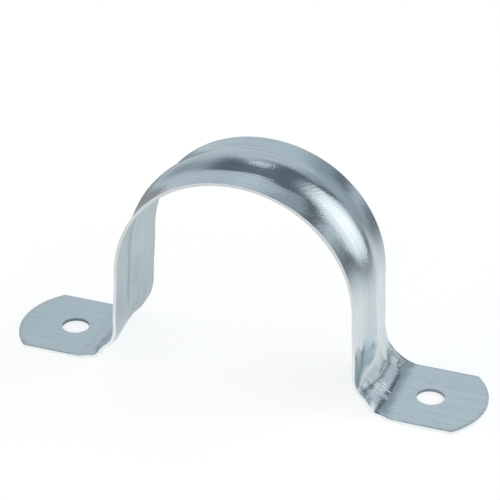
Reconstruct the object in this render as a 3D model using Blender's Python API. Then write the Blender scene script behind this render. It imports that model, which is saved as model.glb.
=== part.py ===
# Two-hole pipe strap: one strip of zinc-plated sheet steel, stamped and folded to a U with two flat feet.
# Metres, +Z up, +X along the feet. The origin is the middle of the plane that both feet rest on.
# The sheet is modelled as its pipe-side face, which a Solidify modifier thickens outwards.
# A crowned rib is pressed outwards along the middle of the band. It is sharp on top of the arch, softens to
# a bell curve over the shoulders and dies away in the bend of each foot.

import math

import bmesh
import bpy
from mathutils import Vector

# Sheet and pipe
PIPE_RADIUS = 0.03015      # outside radius of the 60.3 mm pipe that the arch closes over
SHEET = 0.0008             # sheet thickness
GRIP = 0.0037              # how far the pipe stands below the feet before the screws draw them down

# Strip
BAND_WIDTH = 0.0257        # over the arch and the legs, where the rib draws the edges in
FOOT_WIDTH = 0.0262        # over the feet
BEND_RADIUS = 0.0119       # upper face of the bend between leg and foot
FOOT_LENGTH = 0.01865      # flat part of a foot, from the end of its bend to its tip
END_RADIUS = 0.0186        # rounded end of a foot, seen from above
CORNER_RADIUS = 0.0008     # where the rounded end meets the long edges
EDGE_BREAK = 0.00012       # sheared edges, tumbled before plating

# Screw holes
HOLE_DIAMETER = 0.0070
HOLE_SETBACK = 0.01415     # hole centre from the tip of its foot

# Rib
RIB_WIDTH = 0.0140
RIB_HEIGHT = 0.00165
RIB_FILLET = 0.0025        # concave radius where the crown meets the flat margins
BELL_HEIGHT = 0.0015       # over the shoulders and legs the rib softens to a bell curve
BELL_SPREAD = 0.0032       # its standard deviation across the strip
SOFTEN_LENGTH = 0.0180     # from the top of the arch to where the rib is all bell
RIB_FADE = 0.0088          # length over which the rib dies away, measured along the strip
RIB_END_ANGLE = 40.0       # degrees past the leg, inside the bend, where the rib has gone

# Facets
ARCH_STEPS = 44
LEG_STEPS = 3
BEND_STEPS = 16
CROWN_STEPS = 8
FILLET_STEPS = 2
MARGIN_STEPS = 3
END_STEPS = 18
CORNER_STEPS = 3
HOLE_STEPS = 40
CUTTER_MARGIN = 0.002      # how far a hole cutter passes each face of the foot
SMOOTH_ANGLE = 30.0        # degrees, edges sharper than this stay crisp

# Derived sizes of the pipe-side face
axis_height = PIPE_RADIUS - GRIP
bend_radius_below = BEND_RADIUS + SHEET
leg_length = axis_height - bend_radius_below
bend_centre_x = PIPE_RADIUS + bend_radius_below
tip_x = bend_centre_x + FOOT_LENGTH
hole_x = tip_x - HOLE_SETBACK

arch_end = PIPE_RADIUS * math.pi / 2
leg_end = arch_end + leg_length
bend_end = leg_end + bend_radius_below * math.pi / 2
rib_end = leg_end + bend_radius_below * math.radians(RIB_END_ANGLE)


def clear_scene():
    for item in list(bpy.data.objects):
        bpy.data.objects.remove(item, do_unlink=True)


def ease(share):
    """Rises from 0 to 1 with no slope at either end."""
    share = min(max(share, 0.0), 1.0)
    return share * share * (3.0 - 2.0 * share)


def path_frame(along):
    """Point (x, z) and outward normal of the pipe-side face, at a length from the top of the arch."""
    side = -1.0 if along < 0 else 1.0
    length = abs(along)
    if length <= arch_end:
        angle = length / PIPE_RADIUS
        point = (PIPE_RADIUS * math.sin(angle), axis_height + PIPE_RADIUS * math.cos(angle))
        normal = (math.sin(angle), math.cos(angle))
    elif length <= leg_end:
        point = (PIPE_RADIUS, axis_height - (length - arch_end))
        normal = (1.0, 0.0)
    else:
        angle = (length - leg_end) / bend_radius_below
        normal = (math.cos(angle), math.sin(angle))
        point = (bend_centre_x - bend_radius_below * normal[0],
                 bend_radius_below - bend_radius_below * normal[1])
    return (side * point[0], point[1]), (side * normal[0], normal[1])


def stations():
    """Lengths along the strip, from the left foot over the arch to the right foot."""
    half = [arch_end * 2 * step / ARCH_STEPS for step in range(ARCH_STEPS // 2)]
    half += [arch_end + leg_length * step / LEG_STEPS for step in range(LEG_STEPS)]
    half += [leg_end + (bend_end - leg_end) * step / BEND_STEPS for step in range(BEND_STEPS + 1)]
    return [-length for length in reversed(half[1:])] + half


def rib_arcs():
    """Crown radius and the half angle that crown and fillet share, from the rib's width and height."""
    half_angle = 2 * math.atan2(RIB_HEIGHT, RIB_WIDTH / 2)
    crown_radius = RIB_WIDTH / 2 / math.sin(half_angle) - RIB_FILLET
    return crown_radius, half_angle


def columns_within(half_width):
    """Places across the strip: even steps over the margin, then equal turns along the fillet and the crown."""
    crown_radius, half_angle = rib_arcs()
    margin = half_width - RIB_WIDTH / 2
    places = []
    for step in range(MARGIN_STEPS):
        places.append(-half_width + margin * step / MARGIN_STEPS)
    for step in range(FILLET_STEPS):
        turn = half_angle * step / FILLET_STEPS
        places.append(-RIB_WIDTH / 2 + RIB_FILLET * math.sin(turn))
    outside = list(places)
    for step in range(CROWN_STEPS + 1):
        turn = half_angle * (2 * step / CROWN_STEPS - 1)
        places.append(crown_radius * math.sin(turn))
    places += [-place for place in reversed(outside)]
    return places


def sharp_rib(across):
    """Height of the rib on top of the arch: a crown arc between two concave fillets."""
    crown_radius, half_angle = rib_arcs()
    distance = abs(across)
    if distance >= RIB_WIDTH / 2:
        return 0.0
    if distance > crown_radius * math.sin(half_angle):
        inset = RIB_WIDTH / 2 - distance
        return RIB_FILLET - math.sqrt(RIB_FILLET ** 2 - inset ** 2)
    return RIB_HEIGHT - crown_radius + math.sqrt(crown_radius ** 2 - distance ** 2)


def rib_lift(along, across):
    """Height of the rib: sharp on top of the arch, a bell curve down the sides, and gone inside the bend."""
    sharp = sharp_rib(across)
    bell = BELL_HEIGHT * math.exp(-(across / BELL_SPREAD) ** 2 / 2)
    softness = ease(abs(along) / SOFTEN_LENGTH)
    share = ease((rib_end - abs(along)) / RIB_FADE)
    return share * (sharp + (bell - sharp) * softness)


def strip_row(mesh, along):
    """One row of vertices across the strip."""
    point, normal = path_frame(along)
    into_bend = (abs(along) - leg_end) / (bend_end - leg_end)
    half_width = (BAND_WIDTH + (FOOT_WIDTH - BAND_WIDTH) * ease(into_bend)) / 2
    row = []
    for across in columns_within(half_width):
        lift = rib_lift(along, across)
        place = (point[0] + lift * normal[0], across, point[1] + lift * normal[1])
        row.append(mesh.verts.new(place))
    return row


def close_foot(mesh, row, side):
    """Flat foot as one face, from the last row of the bend round the arc of its end."""
    half_turn = math.asin(FOOT_WIDTH / 2 / END_RADIUS)
    centre_x = tip_x - END_RADIUS
    arc = []
    for step in range(END_STEPS + 1):
        turn = half_turn * (1 - 2 * step / END_STEPS)
        place = (side * (centre_x + END_RADIUS * math.cos(turn)), END_RADIUS * math.sin(turn), 0.0)
        arc.append(mesh.verts.new(place))
    outline = row + arc
    mesh.faces.new(outline[::-1] if side > 0 else outline)
    return [arc[0], arc[-1]]


def make_sheet():
    """Pipe-side face of the strap, faces looking away from the pipe."""
    mesh = bmesh.new()
    rows = [strip_row(mesh, along) for along in stations()]
    for left, right in zip(rows, rows[1:]):
        for near in range(len(left) - 1):
            mesh.faces.new((left[near], right[near], right[near + 1], left[near + 1]))
    corners = close_foot(mesh, rows[-1], 1)
    corners += close_foot(mesh, rows[0], -1)
    bmesh.ops.bevel(mesh, geom=corners, offset=CORNER_RADIUS, segments=CORNER_STEPS,
                    profile=0.5, affect='VERTICES')
    for face in mesh.faces:
        face.smooth = True
    data = bpy.data.meshes.new("strap")
    mesh.to_mesh(data)
    mesh.free()
    return data


def make_hole_cutter(side):
    """Round punch through a foot."""
    mesh = bmesh.new()
    bmesh.ops.create_cone(mesh, cap_ends=True, segments=HOLE_STEPS, radius1=HOLE_DIAMETER / 2,
                          radius2=HOLE_DIAMETER / 2, depth=SHEET + 2 * CUTTER_MARGIN)
    bmesh.ops.translate(mesh, verts=mesh.verts, vec=Vector((side * hole_x, 0.0, SHEET / 2)))
    name = "right_punch" if side > 0 else "left_punch"
    data = bpy.data.meshes.new(name)
    mesh.to_mesh(data)
    mesh.free()
    cutter = bpy.data.objects.new(name, data)
    cutter.hide_render = True
    cutter.display_type = 'WIRE'
    bpy.context.collection.objects.link(cutter)
    return cutter


def make_finish():
    """Bright zinc plating on rolled steel."""
    finish = bpy.data.materials.new("zinc_plated_steel")
    finish.use_nodes = True
    shader = finish.node_tree.nodes["Principled BSDF"]
    shader.inputs["Base Color"].default_value = (0.47, 0.53, 0.56, 1.0)
    shader.inputs["Metallic"].default_value = 1.0
    shader.inputs["Roughness"].default_value = 0.32
    return finish


def make_strap():
    strap = bpy.data.objects.new("strap", make_sheet())
    strap.data.materials.append(make_finish())
    bpy.context.collection.objects.link(strap)

    wall = strap.modifiers.new("sheet", 'SOLIDIFY')
    wall.thickness = SHEET
    wall.offset = 1.0
    wall.use_even_offset = True
    wall.use_quality_normals = True

    for side in (-1, 1):
        hole = strap.modifiers.new("screw hole", 'BOOLEAN')
        hole.operation = 'DIFFERENCE'
        hole.solver = 'EXACT'
        hole.object = make_hole_cutter(side)

    edge = strap.modifiers.new("edge break", 'BEVEL')
    edge.width = EDGE_BREAK
    edge.segments = 1
    edge.limit_method = 'ANGLE'
    edge.angle_limit = math.radians(2 * SMOOTH_ANGLE)
    edge.use_clamp_overlap = False

    strap.data.set_sharp_from_angle(angle=math.radians(SMOOTH_ANGLE))
    return strap


clear_scene()
make_strap()
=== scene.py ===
import math

import bmesh
import bpy
import numpy as np
from mathutils import Matrix, Vector


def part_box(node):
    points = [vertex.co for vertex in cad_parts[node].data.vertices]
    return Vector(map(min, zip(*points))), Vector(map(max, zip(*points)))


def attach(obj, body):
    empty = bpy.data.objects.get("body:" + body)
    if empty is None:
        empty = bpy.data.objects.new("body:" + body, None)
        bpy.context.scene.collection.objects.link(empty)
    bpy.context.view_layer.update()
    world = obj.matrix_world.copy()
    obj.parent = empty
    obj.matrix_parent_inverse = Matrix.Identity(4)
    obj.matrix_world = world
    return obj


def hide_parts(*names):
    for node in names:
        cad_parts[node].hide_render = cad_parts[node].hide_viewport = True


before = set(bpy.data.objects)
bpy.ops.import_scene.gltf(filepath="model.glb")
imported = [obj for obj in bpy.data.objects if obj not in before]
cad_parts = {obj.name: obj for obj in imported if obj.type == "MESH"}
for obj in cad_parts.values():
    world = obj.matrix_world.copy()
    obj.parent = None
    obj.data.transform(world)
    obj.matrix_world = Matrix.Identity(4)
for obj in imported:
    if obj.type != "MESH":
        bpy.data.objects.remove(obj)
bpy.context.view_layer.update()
print("frame loaded")

# Sizes of the pressed strip, in metres. The foot's width and the height of the arch come from the frame.
strapSizes = {
    "pipeRadius": 0.03015,
    "sheet": 0.0008,
    "bandWidth": 0.0257,
    "bendRadius": 0.0119,
    "footLength": 0.01865,
    "endRadius": 0.0186,
    "cornerRadius": 0.0008,
    "holeDiameter": 0.0070,
    "holeSetback": 0.01415,
    "ribWidth": 0.0140,
    "ribHeight": 0.00165,
    "ribFillet": 0.0040,
    "bellHeight": 0.00150,   # over the shoulders and legs the rib softens to a bell
    "bellSpread": 0.0032,
    "softenLength": 0.0180,  # along the strip from the top of the arch
    "bellDrift": 0.0006,     # how far the bell lies off the middle, towards the far edge
    "ribFade": 0.0088,
    "ribEndAngle": 28.0,
    "edgeRoll": 0.00024,     # radius that tumbling leaves on the sheared edges
}

# How finely the surface is worked out: steps along and across the strip
strapGrid = {
    "arch": 130,
    "leg": 8,
    "bend": 110,
    "across": 100,
    "footSide": 36,
    "footEnd": 90,
    "footCorner": 6,
    "footRings": 12,
    "ringCrowding": 1.4,     # above 1 the rings crowd round the hole
    "creaseStep": 0.000002,  # metres along the strip in the running sum of the creases
    "weld": 0.00001,         # metres within which points of the band and the feet become one
}

# Marks that the press leaves in the bends and on the arch, in metres unless they say otherwise
pressMarks = {
    # two soft creases run across each bend: how many millimetres up from the flat foot each lies, at
    # places in millimetres across
    "creaseAcross": (-13, -9, -6, 0, 6, 9, 13),
    "lowCrease": (5.2, 6.0, 6.3, 5.9, 5.9, 7.4, 7.6),
    "highCrease": (12.3, 11.4, 10.6, 9.5, 9.6, 10.6, 10.4),
    # the sheet's tilt in degrees from level, by the share of the way from the low crease to the
    # high one, and from there on by multiples of a fixed length in millimetres
    "creaseTilt": ((-0.6, 24), (0.0, 34.0), (0.25, 43), (0.60, 45), (0.78, 41.5), (0.92, 35.5),
                   (1.08, 35.5), (1.25, 46), (1.5, 55.5), (2.0, 60.5)),
    "creaseBeyond": 3.6,
    # shares between which it fades in from the plain arc and out again
    "creaseFades": (-0.6, 0.0, 1.6, 2.2),
    # how much steeper than a plain arc the bend lies besides, in degrees, by millimetres up from
    # the flat foot
    "lean": ((0, 0), (1, -4), (2, -7), (3, -6), (4, -3), (5, -1), (6, 0), (8, 0), (9, 2), (12, 3),
             (14, 3), (17, 4), (19, 0)),
    # and how much more than that towards the near and the far edge, between two places in
    # millimetres across
    "sideLean": (
        (-6.0, -12.0,
         ((4, 0), (6, -3), (9.5, -4), (11, -2), (12.5, 0), (14, 9), (17, 9), (19, 0))),
        (4.0, 10.0, ((10, 0), (11.5, 6), (13, 7), (15, 4), (17, 2), (19, 0))),
    ),
    "leanEase": 0.020,       # above this length from the foot the leg eases back to its plain place
    "bluntLength": 0.0044,   # at the long edges the folds are blunter, averaged over this length
    "bluntStart": 0.0040,    # up from the flat foot, where this has fully come in
    "bluntAcross": (10.6, 12.9),    # millimetres across between which this comes in
    "curlAngle": 16.0,       # degrees that the near edge is turned down in the bend
    "curlReach": 0.0050,
    "curlFrom": 0.0054,      # lengths up from the flat foot between which it is turned down
    "curlTo": 0.0091,
    "curlEase": 0.0034,
    "droopAngle": 2.6,       # degrees that the margins fall away at the edges on top of the arch
    "droopReach": 0.0055,
    "droopLength": 0.020,    # along the strip, from the top of the arch to where that has gone
    "waveHeight": 0.000012,
    "waveLength": 0.0110,
    "waveStart": 0.0030,     # up from the flat foot, which stays flat
}

footHalf = (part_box("strap")[1][1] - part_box("strap")[0][1]) / 2
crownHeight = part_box("strap")[1][2] - strapSizes["ribHeight"] - strapSizes["sheet"]
axisHeight = crownHeight - strapSizes["pipeRadius"]
turnBelow = strapSizes["bendRadius"] + strapSizes["sheet"]
archEnd = strapSizes["pipeRadius"] * math.pi / 2
legEnd = archEnd + axisHeight - turnBelow
bendEnd = legEnd + turnBelow * math.pi / 2
bendCentreX = strapSizes["pipeRadius"] + turnBelow
tipX = bendCentreX + strapSizes["footLength"]
holeX = tipX - strapSizes["holeSetback"]


def ease(share):
    # 3 s squared minus 2 s cubed, held between 0 and 1
    share = np.clip(share, 0.0, 1.0)
    return share * share * (3.0 - 2.0 * share)


def stripPath(along):
    # x, z and the outward direction: a half circle, a straight leg, then a quarter turn the other way
    side = np.where(along < 0, -1.0, 1.0)
    length = np.abs(along)
    archAngle = np.minimum(length, archEnd) / strapSizes["pipeRadius"]
    legDrop = np.clip(length - archEnd, 0.0, legEnd - archEnd)
    bendAngle = np.clip(length - legEnd, 0.0, bendEnd - legEnd) / turnBelow
    inBend = length > legEnd
    outX = np.where(inBend, np.cos(bendAngle), np.sin(archAngle))
    outZ = np.where(inBend, np.sin(bendAngle), np.cos(archAngle))
    x = np.where(inBend, bendCentreX - turnBelow * outX, strapSizes["pipeRadius"] * np.sin(archAngle))
    z = np.where(inBend, turnBelow - turnBelow * outZ,
                 axisHeight + strapSizes["pipeRadius"] * np.cos(archAngle) - legDrop)
    return side * x, z, side * outX, outZ


def ribLift(along, across):
    # crown arc between two concave fillets at the top of the arch, which eases over to a bell curve
    # on the shoulders; all of it fades out towards each bend
    halfWidth = strapSizes["ribWidth"] / 2
    halfAngle = 2 * math.atan2(strapSizes["ribHeight"], halfWidth)
    fillet = strapSizes["ribFillet"]
    crown = halfWidth / math.sin(halfAngle) - fillet
    distance = np.abs(across)
    crownArc = strapSizes["ribHeight"] - crown + np.sqrt(np.maximum(crown ** 2 - distance ** 2, 0.0))
    inset = np.clip(halfWidth - distance, 0.0, fillet)
    filletArc = fillet - np.sqrt(fillet ** 2 - inset ** 2)
    arcs = np.where(distance < crown * math.sin(halfAngle), crownArc, filletArc)
    off = (across - strapSizes["bellDrift"]) / strapSizes["bellSpread"]
    bell = strapSizes["bellHeight"] * np.exp(-off ** 2 / 2)
    soft = ease(np.abs(along) / strapSizes["softenLength"])
    section = arcs + (bell - arcs) * soft
    ribEnd = legEnd + turnBelow * math.radians(strapSizes["ribEndAngle"])
    return section * ease((ribEnd - np.abs(along)) / strapSizes["ribFade"])


def creaseLift(fromFoot, share):
    # running sum of slope times step, where the slope is the tangent of how much steeper the sheet
    # lies than a plain arc; share is the place across from -1 to 1
    step = strapGrid["creaseStep"]
    fine = np.arange(0.0, bendEnd - archEnd, step)[:, None]
    across = share * footHalf * 1000
    low = np.interp(across, pressMarks["creaseAcross"], pressMarks["lowCrease"])
    high = np.interp(across, pressMarks["creaseAcross"], pressMarks["highCrease"])
    way = (fine * 1000 - low) / (high - low)
    way = np.where(way > 1.0, 1.0 + (fine * 1000 - high) / pressMarks["creaseBeyond"], way)
    plain = np.degrees(np.minimum(fine / turnBelow, math.pi / 2))
    tilt = np.interp(way, *zip(*pressMarks["creaseTilt"]))
    start, full, last, end = pressMarks["creaseFades"]
    held = ease((way - start) / (full - start)) * ease((end - way) / (end - last))
    lean = np.interp(fine * 1000, *zip(*pressMarks["lean"]))
    for nothing, whole, table in pressMarks["sideLean"]:
        lean = lean + np.interp(fine * 1000, *zip(*table)) * ease((across - nothing) / (whole - nothing))
    rise = np.cumsum(np.tan(np.radians((tilt - plain) * held + lean)), axis=0) * step
    # towards the long edges the rise eases over to its mean over a length along the strip, which is
    # the difference of two running sums divided by the number of steps
    reach = int(pressMarks["bluntLength"] / 2 / step)
    total = np.cumsum(np.pad(rise, ((reach + 1, reach), (0, 0)), mode="edge"), axis=0)
    blunt = (total[2 * reach + 1:] - total[:-2 * reach - 1]) / (2 * reach + 1)
    inner, outer = pressMarks["bluntAcross"]
    startShare = ease(fine / pressMarks["bluntStart"])
    rise = rise + (blunt - rise) * ease((np.abs(across) - inner) / (outer - inner)) * startShare
    # what is left at the top of the bend goes down to nothing over the leg
    back = ease((fine - pressMarks["leanEase"]) / (bendEnd - archEnd - pressMarks["leanEase"]))
    rise = rise - rise[-1] * back
    row = np.clip(np.rint(fromFoot / step).astype(int), 0, len(fine) - 1)
    return np.where(fromFoot < bendEnd - archEnd, rise[row[:, 0]], 0.0)


def pressLift(along, across, share):
    # the creases across each bend; the near edge in the bend and both edges on top of the arch, turned
    # down by an angle that grows evenly over their reach; and slow waves: a sine along the strip, which
    # another sine shifts to and fro across it, times a sine across
    fromFoot = bendEnd - np.abs(along)
    lift = creaseLift(fromFoot, share)
    inset = halfWidthAt(along) + across
    curl = np.clip(1.0 - inset / pressMarks["curlReach"], 0.0, 1.0) ** 2 * pressMarks["curlReach"] / 2
    held = (ease((fromFoot - pressMarks["curlFrom"]) / pressMarks["curlEase"] + 0.5)
            * ease((pressMarks["curlTo"] - fromFoot) / pressMarks["curlEase"] + 0.5))
    lift = lift - math.radians(pressMarks["curlAngle"]) * curl * held
    inset = halfWidthAt(along) - np.abs(across)
    droop = np.clip(1.0 - inset / pressMarks["droopReach"], 0.0, 1.0) ** 2 * pressMarks["droopReach"] / 2
    onTop = ease(1.0 - np.abs(along) / pressMarks["droopLength"])
    lift = lift - math.radians(pressMarks["droopAngle"]) * droop * onTop
    turn = 2 * math.pi / pressMarks["waveLength"]
    wave = np.sin(along * turn + 2.0 * np.sin(across * turn * 0.7)) * np.sin(across * turn * 1.1 + 1.0)
    return lift + pressMarks["waveHeight"] * wave * ease(fromFoot / pressMarks["waveStart"])


def halfWidthAt(along):
    # the edges ease out from the band to the foot inside the bend
    share = ease((np.abs(along) - legEnd) / (bendEnd - legEnd))
    return strapSizes["bandWidth"] / 2 + (footHalf - strapSizes["bandWidth"] / 2) * share


def bandSurface():
    # grid of (along, across): path point plus the rib and press marks along the outward direction
    half = np.concatenate([
        np.linspace(0.0, archEnd, strapGrid["arch"] // 2, endpoint=False),
        np.linspace(archEnd, legEnd, strapGrid["leg"], endpoint=False),
        np.linspace(legEnd, bendEnd, strapGrid["bend"] + 1)])
    along = np.concatenate([-half[:0:-1], half])[:, None]
    share = np.linspace(-1.0, 1.0, strapGrid["across"] + 1)[None, :]
    across = share * halfWidthAt(along)
    x, z, outX, outZ = stripPath(along)
    lift = ribLift(along, across) + pressLift(along, across, share)
    points = np.stack([x + outX * lift, across, z + outZ * lift], axis=-1)
    marks = np.stack([along + 0 * across, across], axis=-1)
    return points, marks


def footOutline():
    # round the foot from the bend: near edge, corner arc, tip arc, corner arc, far edge, and back
    # along the bend line
    tipRadius = strapSizes["endRadius"]
    corner = strapSizes["cornerRadius"]
    tipCentre = tipX - tipRadius
    # the corner's centre lies a corner radius inside both the edge and the tip arc
    cornerY = footHalf - corner
    cornerX = tipCentre + math.sqrt((tipRadius - corner) ** 2 - cornerY ** 2)
    cornerTurn = math.atan2(cornerY, cornerX - tipCentre)
    edge = np.linspace(bendCentreX, cornerX, strapGrid["footSide"], endpoint=False)
    cornerArc = np.linspace(-math.pi / 2, -cornerTurn, strapGrid["footCorner"], endpoint=False)
    tipArc = np.linspace(-cornerTurn, cornerTurn, strapGrid["footEnd"])
    nearX = np.concatenate([edge, cornerX + corner * np.cos(cornerArc)])
    nearY = np.concatenate([np.full(len(edge), -footHalf), -cornerY + corner * np.sin(cornerArc)])
    tipXs = tipCentre + tipRadius * np.cos(tipArc)
    tipYs = tipRadius * np.sin(tipArc)
    back = np.linspace(1.0, -1.0, strapGrid["across"] + 1)[:-1] * footHalf
    x = np.concatenate([nearX, tipXs, nearX[::-1], np.full(len(back) - 1, bendCentreX)])
    y = np.concatenate([nearY, tipYs, -nearY[::-1], back[1:]])
    return x, y


def footSurface():
    # rings between the screw hole and the outline: each point moves straight from one to the other
    outerX, outerY = footOutline()
    turn = np.arctan2(outerY, outerX - holeX)
    radius = strapSizes["holeDiameter"] / 2
    share = np.linspace(0.0, 1.0, strapGrid["footRings"] + 1)[:, None] ** strapGrid["ringCrowding"]
    x = (holeX + radius * np.cos(turn)) * (1 - share) + outerX * share
    y = radius * np.sin(turn) * (1 - share) + outerY * share
    points = np.stack([x, y, 0 * x], axis=-1)
    marks = np.stack([bendEnd + x - bendCentreX, y], axis=-1)
    return points, marks


def gridFaces(rows, columns, wrapped):
    # quads of a grid whose points are numbered row by row
    row = np.arange(rows - 1)[:, None] * columns
    column = np.arange(columns if wrapped else columns - 1)[None, :]
    following = (column + 1) % columns
    return np.stack([row + column, row + columns + column,
                     row + columns + following, row + following], axis=-1).reshape(-1, 4)


def meshFrom(name, parts):
    # parts are (points, faces, marks); the marks become a UV map in metres along and across the strip
    count = 0
    allPoints, allFaces, allMarks = [], [], []
    for points, faces, marks in parts:
        allPoints.append(points.reshape(-1, 3))
        allMarks.append(marks.reshape(-1, 2))
        allFaces.append(faces + count)
        count += len(allPoints[-1])
    points, faces, marks = (np.concatenate(rows) for rows in (allPoints, allFaces, allMarks))
    mesh = bpy.data.meshes.new(name)
    mesh.vertices.add(len(points))
    mesh.vertices.foreach_set("co", points.astype(np.float32).ravel())
    mesh.loops.add(faces.size)
    mesh.loops.foreach_set("vertex_index", faces.astype(np.int32).ravel())
    mesh.polygons.add(len(faces))
    mesh.polygons.foreach_set("loop_start", np.arange(0, faces.size, 4, dtype=np.int32))
    layer = mesh.uv_layers.new(name="strip")
    layer.data.foreach_set("uv", marks[faces.ravel()].astype(np.float32).ravel())
    mesh.update(calc_edges=True)
    mesh.validate()
    return mesh


def buildStrap():
    bandPoints, bandMarks = bandSurface()
    bandFaces = gridFaces(bandPoints.shape[0], bandPoints.shape[1], False)
    footPoints, footMarks = footSurface()
    footFaces = gridFaces(footPoints.shape[0], footPoints.shape[1], True)
    mirror = np.array([-1.0, 1.0, 1.0])
    mirrorMarks = np.array([-1.0, 1.0])
    mesh = meshFrom("pressedStrap", [
        (bandPoints, bandFaces, bandMarks),
        (footPoints, footFaces, footMarks),
        (footPoints * mirror, footFaces[:, ::-1], footMarks * mirrorMarks)])
    work = bmesh.new()
    work.from_mesh(mesh)
    bmesh.ops.remove_doubles(work, verts=work.verts, dist=strapGrid["weld"])
    for face in work.faces:
        face.smooth = True
    work.to_mesh(mesh)
    work.free()
    strap = bpy.data.objects.new("pressedStrap", mesh)
    bpy.context.collection.objects.link(strap)

    wall = strap.modifiers.new("sheet", 'SOLIDIFY')
    wall.thickness = strapSizes["sheet"]
    wall.offset = 1.0
    wall.use_even_offset = True
    wall.material_offset_rim = 1
    edge = strap.modifiers.new("sheared edge", 'BEVEL')
    edge.width = strapSizes["edgeRoll"]
    edge.segments = 3
    edge.limit_method = 'ANGLE'
    edge.angle_limit = math.radians(50.0)
    print("strap surface:", len(mesh.vertices), "points")
    return strap


def linear(hexColour):
    # sRGB hex to linear light
    values = [int(hexColour[place:place + 2], 16) / 255 for place in (1, 3, 5)]
    curved = [value / 12.92 if value <= 0.04045 else ((value + 0.055) / 1.055) ** 2.4 for value in values]
    return curved + [1.0]


def addNode(tree, kind, settings=None, links=None):
    # settings go to the node's own properties, or to its inputs where the key is an input's name
    # or number
    node = tree.nodes.new(kind)
    for key, value in (settings or {}).items():
        if isinstance(key, str) and hasattr(node, key):
            setattr(node, key, value)
        else:
            node.inputs[key].default_value = value
    for key, socket in (links or {}).items():
        tree.links.new(socket, node.inputs[key])
    return node


# Bright zinc plating over rolled steel: a pale blue-grey mirror, softened by the fine grain of the
# rolled strip. Lengths in metres; a depth is how far the noise moves the surface between its lowest
# and highest values.
zincFinish = {
    "colour": "#CFD8DC",
    "dullColour": "#C5D0D5",
    "roughness": 0.12,
    "roughnessSpread": 0.06,
    "cloudSize": 0.0050,
    "grainSize": 0.00050,
    "grainDepth": 0.000045,
    "linePitch": 0.00120,
    "lineStretch": 34.0,
    "lineDepth": 0.000008,
    "puckerPitch": 0.00105,
    "puckerPatch": 0.0020,
    "puckerDepth": 0.000200,
    "puckerPlace": 0.0078,   # up into the bend from the flat foot
    "puckerReach": 0.0036,
    "puckerMiddle": 0.0025,  # the two clusters lie this far across, plus and minus the spread
    "puckerSpread": 0.0070,
    "puckerWidth": 0.0042,
}


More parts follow.
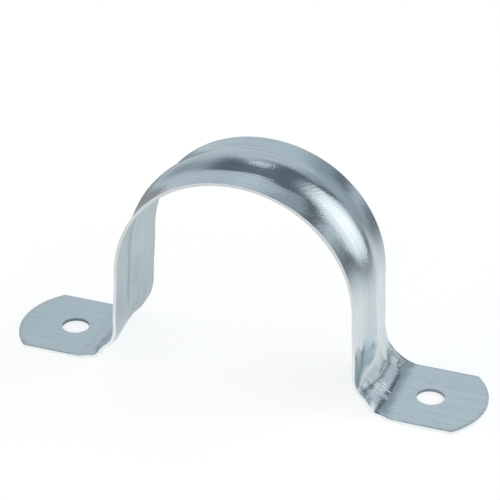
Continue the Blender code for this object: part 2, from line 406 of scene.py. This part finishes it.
def zincPlatedSteel():
    finish = bpy.data.materials.new("zincPlatedSteel")
    finish.use_nodes = True
    tree = finish.node_tree
    shader = tree.nodes["Principled BSDF"]
    shader.inputs["Metallic"].default_value = 1.0
    strip = addNode(tree, "ShaderNodeUVMap", {"uv_map": "strip"})
    place = addNode(tree, "ShaderNodeTexCoord")

    # rolling lines: noise drawn out along the strip, which streaks the colour and barely furrows the
    # surface; noise mostly lies between 0.3 and 0.7
    pitch = 1 / zincFinish["linePitch"]
    drawn = addNode(tree, "ShaderNodeMapping", {"Scale": (pitch / zincFinish["lineStretch"], pitch, 1.0)},
                    {"Vector": strip.outputs[0]})
    lines = addNode(tree, "ShaderNodeTexNoise", {"Scale": 1.0, "Detail": 3.0},
                    {"Vector": drawn.outputs[0]})
    streak = addNode(tree, "ShaderNodeMapRange", {"From Min": 0.3, "From Max": 0.7},
                     {"Value": lines.outputs[0]})
    tint = addNode(tree, "ShaderNodeMix", {"data_type": 'RGBA', 6: linear(zincFinish["colour"]),
                                           7: linear(zincFinish["dullColour"])}, {0: streak.outputs[0]})
    tree.links.new(tint.outputs[2], shader.inputs["Base Color"])

    # the plating's clouds: patches a few millimetres wide that are slightly less sharp
    clouds = addNode(tree, "ShaderNodeTexNoise", {"Scale": 1 / zincFinish["cloudSize"], "Detail": 4.0},
                     {"Vector": place.outputs["Object"]})
    gloss = addNode(tree, "ShaderNodeMapRange", {
        "From Min": 0.3, "From Max": 0.7, "To Min": zincFinish["roughness"],
        "To Max": zincFinish["roughness"] + zincFinish["roughnessSpread"]}, {"Value": clouds.outputs[0]})
    tree.links.new(gloss.outputs[0], shader.inputs["Roughness"])

    # grain: fine even pitting of the rolled sheet under the plating
    grain = addNode(tree, "ShaderNodeTexNoise", {"Scale": 1 / zincFinish["grainSize"], "Detail": 2.0},
                    {"Vector": place.outputs["Object"]})
    bump = addNode(tree, "ShaderNodeBump", {"Distance": zincFinish["grainDepth"]},
                   {"Height": grain.outputs[0]})
    bump = addNode(tree, "ShaderNodeBump", {"Distance": zincFinish["lineDepth"]},
                   {"Height": lines.outputs[0], "Normal": bump.outputs[0]})

    # puckers: short creases along the strip where the bend was squeezed, in two clusters across each
    # bend; the wave's own period is a tenth of pi at a scale of 1, and its third power leaves narrow
    # ridges
    creases = addNode(tree, "ShaderNodeTexWave", {
        "bands_direction": 'Y', "Scale": math.pi / 10 / zincFinish["puckerPitch"], "Distortion": 2.0,
        "Detail": 1.0, "Detail Scale": 1.5}, {"Vector": strip.outputs[0]})
    ridges = addNode(tree, "ShaderNodeMath", {"operation": 'POWER', 1: 3.0}, {0: creases.outputs["Fac"]})
    # they come and go over a few millimetres
    patches = addNode(tree, "ShaderNodeTexNoise", {"Scale": 1 / zincFinish["puckerPatch"], "Detail": 1.0},
                      {"Vector": place.outputs["Object"]})
    present = addNode(tree, "ShaderNodeMapRange", {"From Min": 0.36, "From Max": 0.64},
                      {"Value": patches.outputs[0]})
    ridges = addNode(tree, "ShaderNodeMath", {"operation": 'MULTIPLY'},
                     {0: ridges.outputs[0], 1: present.outputs[0]})
    parts = addNode(tree, "ShaderNodeSeparateXYZ", links={0: strip.outputs[0]})
    height = ridges.outputs[0]
    alongStrip = (parts.outputs[0], 0.0, bendEnd - zincFinish["puckerPlace"], zincFinish["puckerReach"])
    acrossStrip = (parts.outputs[1], zincFinish["puckerMiddle"], zincFinish["puckerSpread"],
                   zincFinish["puckerWidth"])
    for source, inner, outer, reach in (alongStrip, acrossStrip):
        off = addNode(tree, "ShaderNodeMath", {"operation": 'SUBTRACT', 1: inner}, {0: source})
        size = addNode(tree, "ShaderNodeMath", {"operation": 'ABSOLUTE'}, {0: off.outputs[0]})
        off = addNode(tree, "ShaderNodeMath", {"operation": 'SUBTRACT', 1: outer}, {0: size.outputs[0]})
        size = addNode(tree, "ShaderNodeMath", {"operation": 'ABSOLUTE'}, {0: off.outputs[0]})
        held = addNode(tree, "ShaderNodeMapRange", {
            "interpolation_type": 'SMOOTHSTEP', "From Min": reach, "From Max": reach / 5},
            {"Value": size.outputs[0]})
        height = addNode(tree, "ShaderNodeMath", {"operation": 'MULTIPLY'},
                         {0: height, 1: held.outputs[0]}).outputs[0]
    bump = addNode(tree, "ShaderNodeBump", {"Distance": zincFinish["puckerDepth"]},
                   {"Height": height, "Normal": bump.outputs[0]})
    tree.links.new(bump.outputs[0], shader.inputs["Normal"])
    return finish


# Sheared and tumbled edge: the same plating over torn metal, less sharp in its reflections, paler partly
# from burnishing and partly as a painted highlight, with painted shade on the punched hole walls
edgeFinishAndPaintedLight = {
    # paler than the strip: partly burnished wear, partly a painted highlight along the cut edges
    "colour": "#F2F6F7",
    # darker: painted shade on the punched walls of the screw holes
    "holeShadeColour": "#87939A",
    "holeShadeMargin": 0.0005,    # the painted shade of the hole reaches this far past its radius
    "roughness": 0.34,
    "tearSize": 0.00030,
    "tearDepth": 0.00006,
}


def burnishedEdgeWithPaintedSheenAndShade():
    finish = bpy.data.materials.new("burnishedEdgeWithPaintedSheenAndShade")
    finish.use_nodes = True
    tree = finish.node_tree
    shader = tree.nodes["Principled BSDF"]
    shader.inputs["Metallic"].default_value = 1.0
    shader.inputs["Roughness"].default_value = edgeFinishAndPaintedLight["roughness"]
    place = addNode(tree, "ShaderNodeTexCoord")
    # the punched wall of each screw hole is darker: painted shade in the hole
    parts = addNode(tree, "ShaderNodeSeparateXYZ", links={0: place.outputs["Object"]})
    size = addNode(tree, "ShaderNodeMath", {"operation": 'ABSOLUTE'}, {0: parts.outputs[0]})
    spot = addNode(tree, "ShaderNodeCombineXYZ", links={0: size.outputs[0], 1: parts.outputs[1]})
    away = addNode(tree, "ShaderNodeVectorMath", {"operation": 'DISTANCE', 1: (holeX, 0.0, 0.0)},
                   {0: spot.outputs[0]})
    reach = strapSizes["holeDiameter"] / 2 + edgeFinishAndPaintedLight["holeShadeMargin"]
    holeShadeMask = addNode(tree, "ShaderNodeMath", {"operation": 'LESS_THAN', 1: reach},
                     {0: away.outputs["Value"]})
    # paler edges, partly burnish and partly painted highlight, with painted shade inside the screw holes
    tint = addNode(tree, "ShaderNodeMix", {"data_type": 'RGBA', 6: linear(edgeFinishAndPaintedLight["colour"]),
                                           7: linear(edgeFinishAndPaintedLight["holeShadeColour"])}, {0: holeShadeMask.outputs[0]})
    tree.links.new(tint.outputs[2], shader.inputs["Base Color"])
    tears = addNode(tree, "ShaderNodeTexNoise", {"Scale": 1 / edgeFinishAndPaintedLight["tearSize"], "Detail": 2.0},
                    {"Vector": place.outputs["Object"]})
    bump = addNode(tree, "ShaderNodeBump", {"Distance": edgeFinishAndPaintedLight["tearDepth"]},
                   {"Height": tears.outputs[0]})
    tree.links.new(bump.outputs[0], shader.inputs["Normal"])
    return finish


# The studio, a soft grey room by direction: middle azimuth from +Y towards +X, its half size and
# softness, the same three for elevation, all in degrees, then strength and colour. Later cards cover
# earlier ones.
studio = {
    "backdrop": ("#EDF8FF", 0.720),
    "cards": [
        ("frontFill", 180.0, 62.0, 40.0, 12.0, 20.0, 18.0, 1.10, "#FFF6EA"),
        ("darkFront", -150.0, 40.0, 30.0, 56.0, 12.0, 10.0, 0.150, "#DAF1FF"),
        ("leftBox", -105.0, 20.0, 20.0, 22.0, 24.0, 20.0, 1.30, "#FFF6EA"),
        ("backdropGlow", -20.0, 24.0, 16.0, 36.5, 3.5, 6.0, 0.980, "#EDF8FF"),
        ("ceiling", 0.0, 400.0, 10.0, 90.0, 33.0, 12.0, 0.250, "#DAF1FF"),
        ("darkLeft", -53.0, 23.0, 26.0, 50.0, 16.0, 20.0, 0.200, "#DAF1FF"),
        ("darkEdgeLeft", -57.0, 7.0, 16.0, 20.5, 20.0, 24.0, 0.350, "#E5F6FF"),
        ("darkOverhead", 18.0, 23.0, 22.0, 52.5, 15.0, 8.0, 0.200, "#DAF1FF"),
        ("gap", 16.0, 8.5, 13.0, 9.4, 26.0, 8.0, 0.460, "#E5F6FF"),
        ("gapLow", 9.0, 9.0, 8.0, 0.0, 16.0, 8.0, 0.500, "#E5F6FF"),
        ("softBox", 65.5, 27.0, 10.0, 22.0, 24.5, 9.0, 1.13, "#F8FBFF"),
        ("softBoxMiddle", 66.0, 13.0, 20.0, 29.4, 22.5, 34.0, 1.62, "#FFFDFD"),
        ("gapCore", 26.0, 3.8, 4.0, 20.5, 8.0, 5.0, 0.120, "#D2EDFF"),
        ("gapUpper", 31.0, 5.8, 5.0, 32.0, 6.5, 5.0, 0.110, "#D2EDFF"),
        ("lampGlow", -12.0, 9.0, 11.0, 51.0, 12.0, 8.0, 0.520, "#EDF8FF"),
        ("lamp", -12.5, 12.0, 6.0, 56.0, 1.9, 2.4, 1.90, "#F4FAFF"),
        ("gapFoot", 35.0, 5.0, 5.0, 3.5, 5.0, 5.0, 0.340, "#E5F6FF"),
        ("horizon", 37.0, 10.0, 8.0, -6.0, 6.0, 4.0, 0.200, "#E5F6FF"),
        ("farHorizon", 66.0, 22.0, 8.0, -10.8, 4.0, 4.0, 0.360, "#E5F6FF"),
    ],
}


def buildStudio():
    world = bpy.data.worlds.new("studio")
    bpy.context.scene.world = world
    world.use_nodes = True
    tree = world.node_tree
    tree.nodes.clear()
    direction = addNode(tree, "ShaderNodeTexCoord")
    parts = addNode(tree, "ShaderNodeSeparateXYZ", links={0: direction.outputs["Generated"]})
    azimuth = addNode(tree, "ShaderNodeMath", {"operation": 'ARCTAN2'},
                      {0: parts.outputs[0], 1: parts.outputs[1]})
    elevation = addNode(tree, "ShaderNodeMath", {"operation": 'ARCSINE'}, {0: parts.outputs[2]})

    colour, strength = studio["backdrop"]
    current = addNode(tree, "ShaderNodeRGB").outputs[0]
    current.default_value = [value * strength for value in linear(colour)[:3]] + [1.0]
    for name, turn, halfTurn, softTurn, rise, halfRise, softRise, strength, colour in studio["cards"]:
        masks = []
        for source, middle, half, soft in ((azimuth, turn, halfTurn, softTurn),
                                           (elevation, rise, halfRise, softRise)):
            off = addNode(tree, "ShaderNodeMath", {"operation": 'SUBTRACT', 1: math.radians(middle)},
                          {0: source.outputs[0]})
            # brought back into half a turn either way, so that a card may lie across due south
            whole = addNode(tree, "ShaderNodeMath", {"operation": 'WRAP', 1: math.pi, 2: -math.pi},
                            {0: off.outputs[0]})
            size = addNode(tree, "ShaderNodeMath", {"operation": 'ABSOLUTE'}, {0: whole.outputs[0]})
            masks.append(addNode(tree, "ShaderNodeMapRange", {
                "interpolation_type": 'SMOOTHSTEP', "From Min": math.radians(half + soft / 2),
                "From Max": math.radians(half - soft / 2)}, {"Value": size.outputs[0]}))
        both = addNode(tree, "ShaderNodeMath", {"operation": 'MULTIPLY', "label": name},
                       {0: masks[0].outputs[0], 1: masks[1].outputs[0]})
        mix = addNode(tree, "ShaderNodeMix", {"data_type": 'RGBA'}, {0: both.outputs[0], 6: current})
        mix.inputs[7].default_value = [value * strength for value in linear(colour)[:3]] + [1.0]
        current = mix.outputs[2]
    # the camera sees plain white behind the floor
    rays = addNode(tree, "ShaderNodeLightPath")
    seen = addNode(tree, "ShaderNodeMix", {"data_type": 'RGBA', 7: (1.0, 1.0, 1.0, 1.0)},
                   {0: rays.outputs["Is Camera Ray"], 6: current})
    background = addNode(tree, "ShaderNodeBackground", links={0: seen.outputs[2]})
    addNode(tree, "ShaderNodeOutputWorld", links={0: background.outputs[0]})
    print("studio light ready")


# A sheet of white paper. Its glow brings the open floor up to white where the camera or the metal sees
# it. Behind the strap the metal sees it fade and turn bluish away from one bright spot, as a table does
# away from its lamp, and in front it fades towards the viewer. Places and lengths in metres.
floorSheet = {
    "halfSize": 0.235,
    "colour": "#C8C8C8",
    "glow": 0.68,
    "spotGlow": 0.65,
    "farColour": "#D8F2FA",
    "spot": (0.048, 0.032, 0.0),
    "spotSize": 0.015,
    "spotReach": 0.155,
    "behind": (-0.010, 0.012),    # y between which the floor in front turns into the floor behind
    "frontFar": -0.070,
    "frontNear": -0.015,
    "frontFarGlow": 0.34,
    "drop": 0.00005,         # how far it lies below the feet, so that the two faces never meet
}


def buildFloor():
    half = floorSheet["halfSize"]
    mesh = bpy.data.meshes.new("floorSheet")
    corners = [(-half, -half), (half, -half), (half, half), (-half, half)]
    mesh.from_pydata([(x, y, -floorSheet["drop"]) for x, y in corners], [], [(0, 1, 2, 3)])
    floor = bpy.data.objects.new("floorSheet", mesh)
    bpy.context.collection.objects.link(floor)
    paper = bpy.data.materials.new("whitePaper")
    paper.use_nodes = True
    tree = paper.node_tree
    tree.nodes.clear()
    diffuse = addNode(tree, "ShaderNodeBsdfDiffuse", {"Color": linear(floorSheet["colour"])})
    rays = addNode(tree, "ShaderNodeLightPath")
    place = addNode(tree, "ShaderNodeTexCoord")
    away = addNode(tree, "ShaderNodeVectorMath", {"operation": 'DISTANCE', 1: floorSheet["spot"]},
                   {0: place.outputs["Object"]})
    spot = addNode(tree, "ShaderNodeMapRange", {
        "From Min": floorSheet["spotSize"], "From Max": floorSheet["spotReach"],
        "To Min": floorSheet["spotGlow"], "To Max": 0.0}, {"Value": away.outputs["Value"]})
    parts = addNode(tree, "ShaderNodeSeparateXYZ", links={0: place.outputs["Object"]})
    start, end = floorSheet["behind"]
    behind = addNode(tree, "ShaderNodeMapRange", {"From Min": start, "From Max": end},
                     {"Value": parts.outputs[1]})
    front = addNode(tree, "ShaderNodeMapRange", {
        "From Min": floorSheet["frontFar"], "From Max": floorSheet["frontNear"],
        "To Min": floorSheet["frontFarGlow"], "To Max": floorSheet["glow"]}, {"Value": parts.outputs[1]})
    mirrored = addNode(tree, "ShaderNodeMix", links={0: behind.outputs[0], 2: front.outputs[0],
                                                     3: spot.outputs[0]})
    mirrored = addNode(tree, "ShaderNodeMath", {"operation": 'MULTIPLY'},
                       {0: mirrored.outputs[0], 1: rays.outputs["Is Glossy Ray"]})
    direct = addNode(tree, "ShaderNodeMath", {"operation": 'MULTIPLY', 1: floorSheet["glow"]},
                     {0: rays.outputs["Is Camera Ray"]})
    level = addNode(tree, "ShaderNodeMath", {"operation": 'MAXIMUM'},
                    {0: direct.outputs[0], 1: mirrored.outputs[0]})
    cooled = addNode(tree, "ShaderNodeMapRange", {
        "From Min": floorSheet["spotSize"], "From Max": floorSheet["spotReach"]},
        {"Value": away.outputs["Value"]})
    cooled = addNode(tree, "ShaderNodeMath", {"operation": 'MULTIPLY'},
                     {0: cooled.outputs[0], 1: behind.outputs[0]})
    cooled = addNode(tree, "ShaderNodeMath", {"operation": 'MULTIPLY'},
                     {0: cooled.outputs[0], 1: rays.outputs["Is Glossy Ray"]})
    tint = addNode(tree, "ShaderNodeMix", {"data_type": 'RGBA', 6: (1.0, 1.0, 1.0, 1.0),
                                           7: linear(floorSheet["farColour"])}, {0: cooled.outputs[0]})
    glow = addNode(tree, "ShaderNodeEmission",
                   links={"Color": tint.outputs[2], "Strength": level.outputs[0]})
    both = addNode(tree, "ShaderNodeAddShader", links={0: diffuse.outputs[0], 1: glow.outputs[0]})
    addNode(tree, "ShaderNodeOutputMaterial", links={0: both.outputs[0]})
    mesh.materials.append(paper)
    print("floor laid")


# The camera stands off the near right, looking down at the strap; angles in degrees, lengths in metres
cameraView = {
    "azimuth": 19.17,
    "elevation": 29.94,
    "roll": 0.72,
    "distance": 0.5568,
    "aim": (-0.00217, 0.00599, 0.02914),
    "lens": 161.8,
}


def placeCamera():
    turn = math.radians(cameraView["azimuth"])
    rise = math.radians(cameraView["elevation"])
    roll = math.radians(cameraView["roll"])
    back = Vector((math.sin(turn) * math.cos(rise), -math.cos(turn) * math.cos(rise), math.sin(rise)))
    level = Vector((math.cos(turn), math.sin(turn), 0.0))
    upright = back.cross(level)
    right = math.cos(roll) * level + math.sin(roll) * upright
    upward = math.cos(roll) * upright - math.sin(roll) * level
    data = bpy.data.cameras.new("photoCamera")
    data.lens = cameraView["lens"]
    data.sensor_width = 36.0
    data.clip_start = 0.01
    camera = bpy.data.objects.new("photoCamera", data)
    bpy.context.collection.objects.link(camera)
    place = Matrix.Translation(Vector(cameraView["aim"]) + back * cameraView["distance"])
    camera.matrix_world = place @ Matrix((right, upward, back)).transposed().to_4x4()
    bpy.context.scene.camera = camera
    print("camera placed")


placeCamera()
buildStudio()
buildFloor()
strap = buildStrap()
strap.data.materials.append(zincPlatedSteel())
strap.data.materials.append(burnishedEdgeWithPaintedSheenAndShade())
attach(strap, "root")
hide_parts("strap")

bpy.context.scene.view_settings.view_transform = 'Standard'
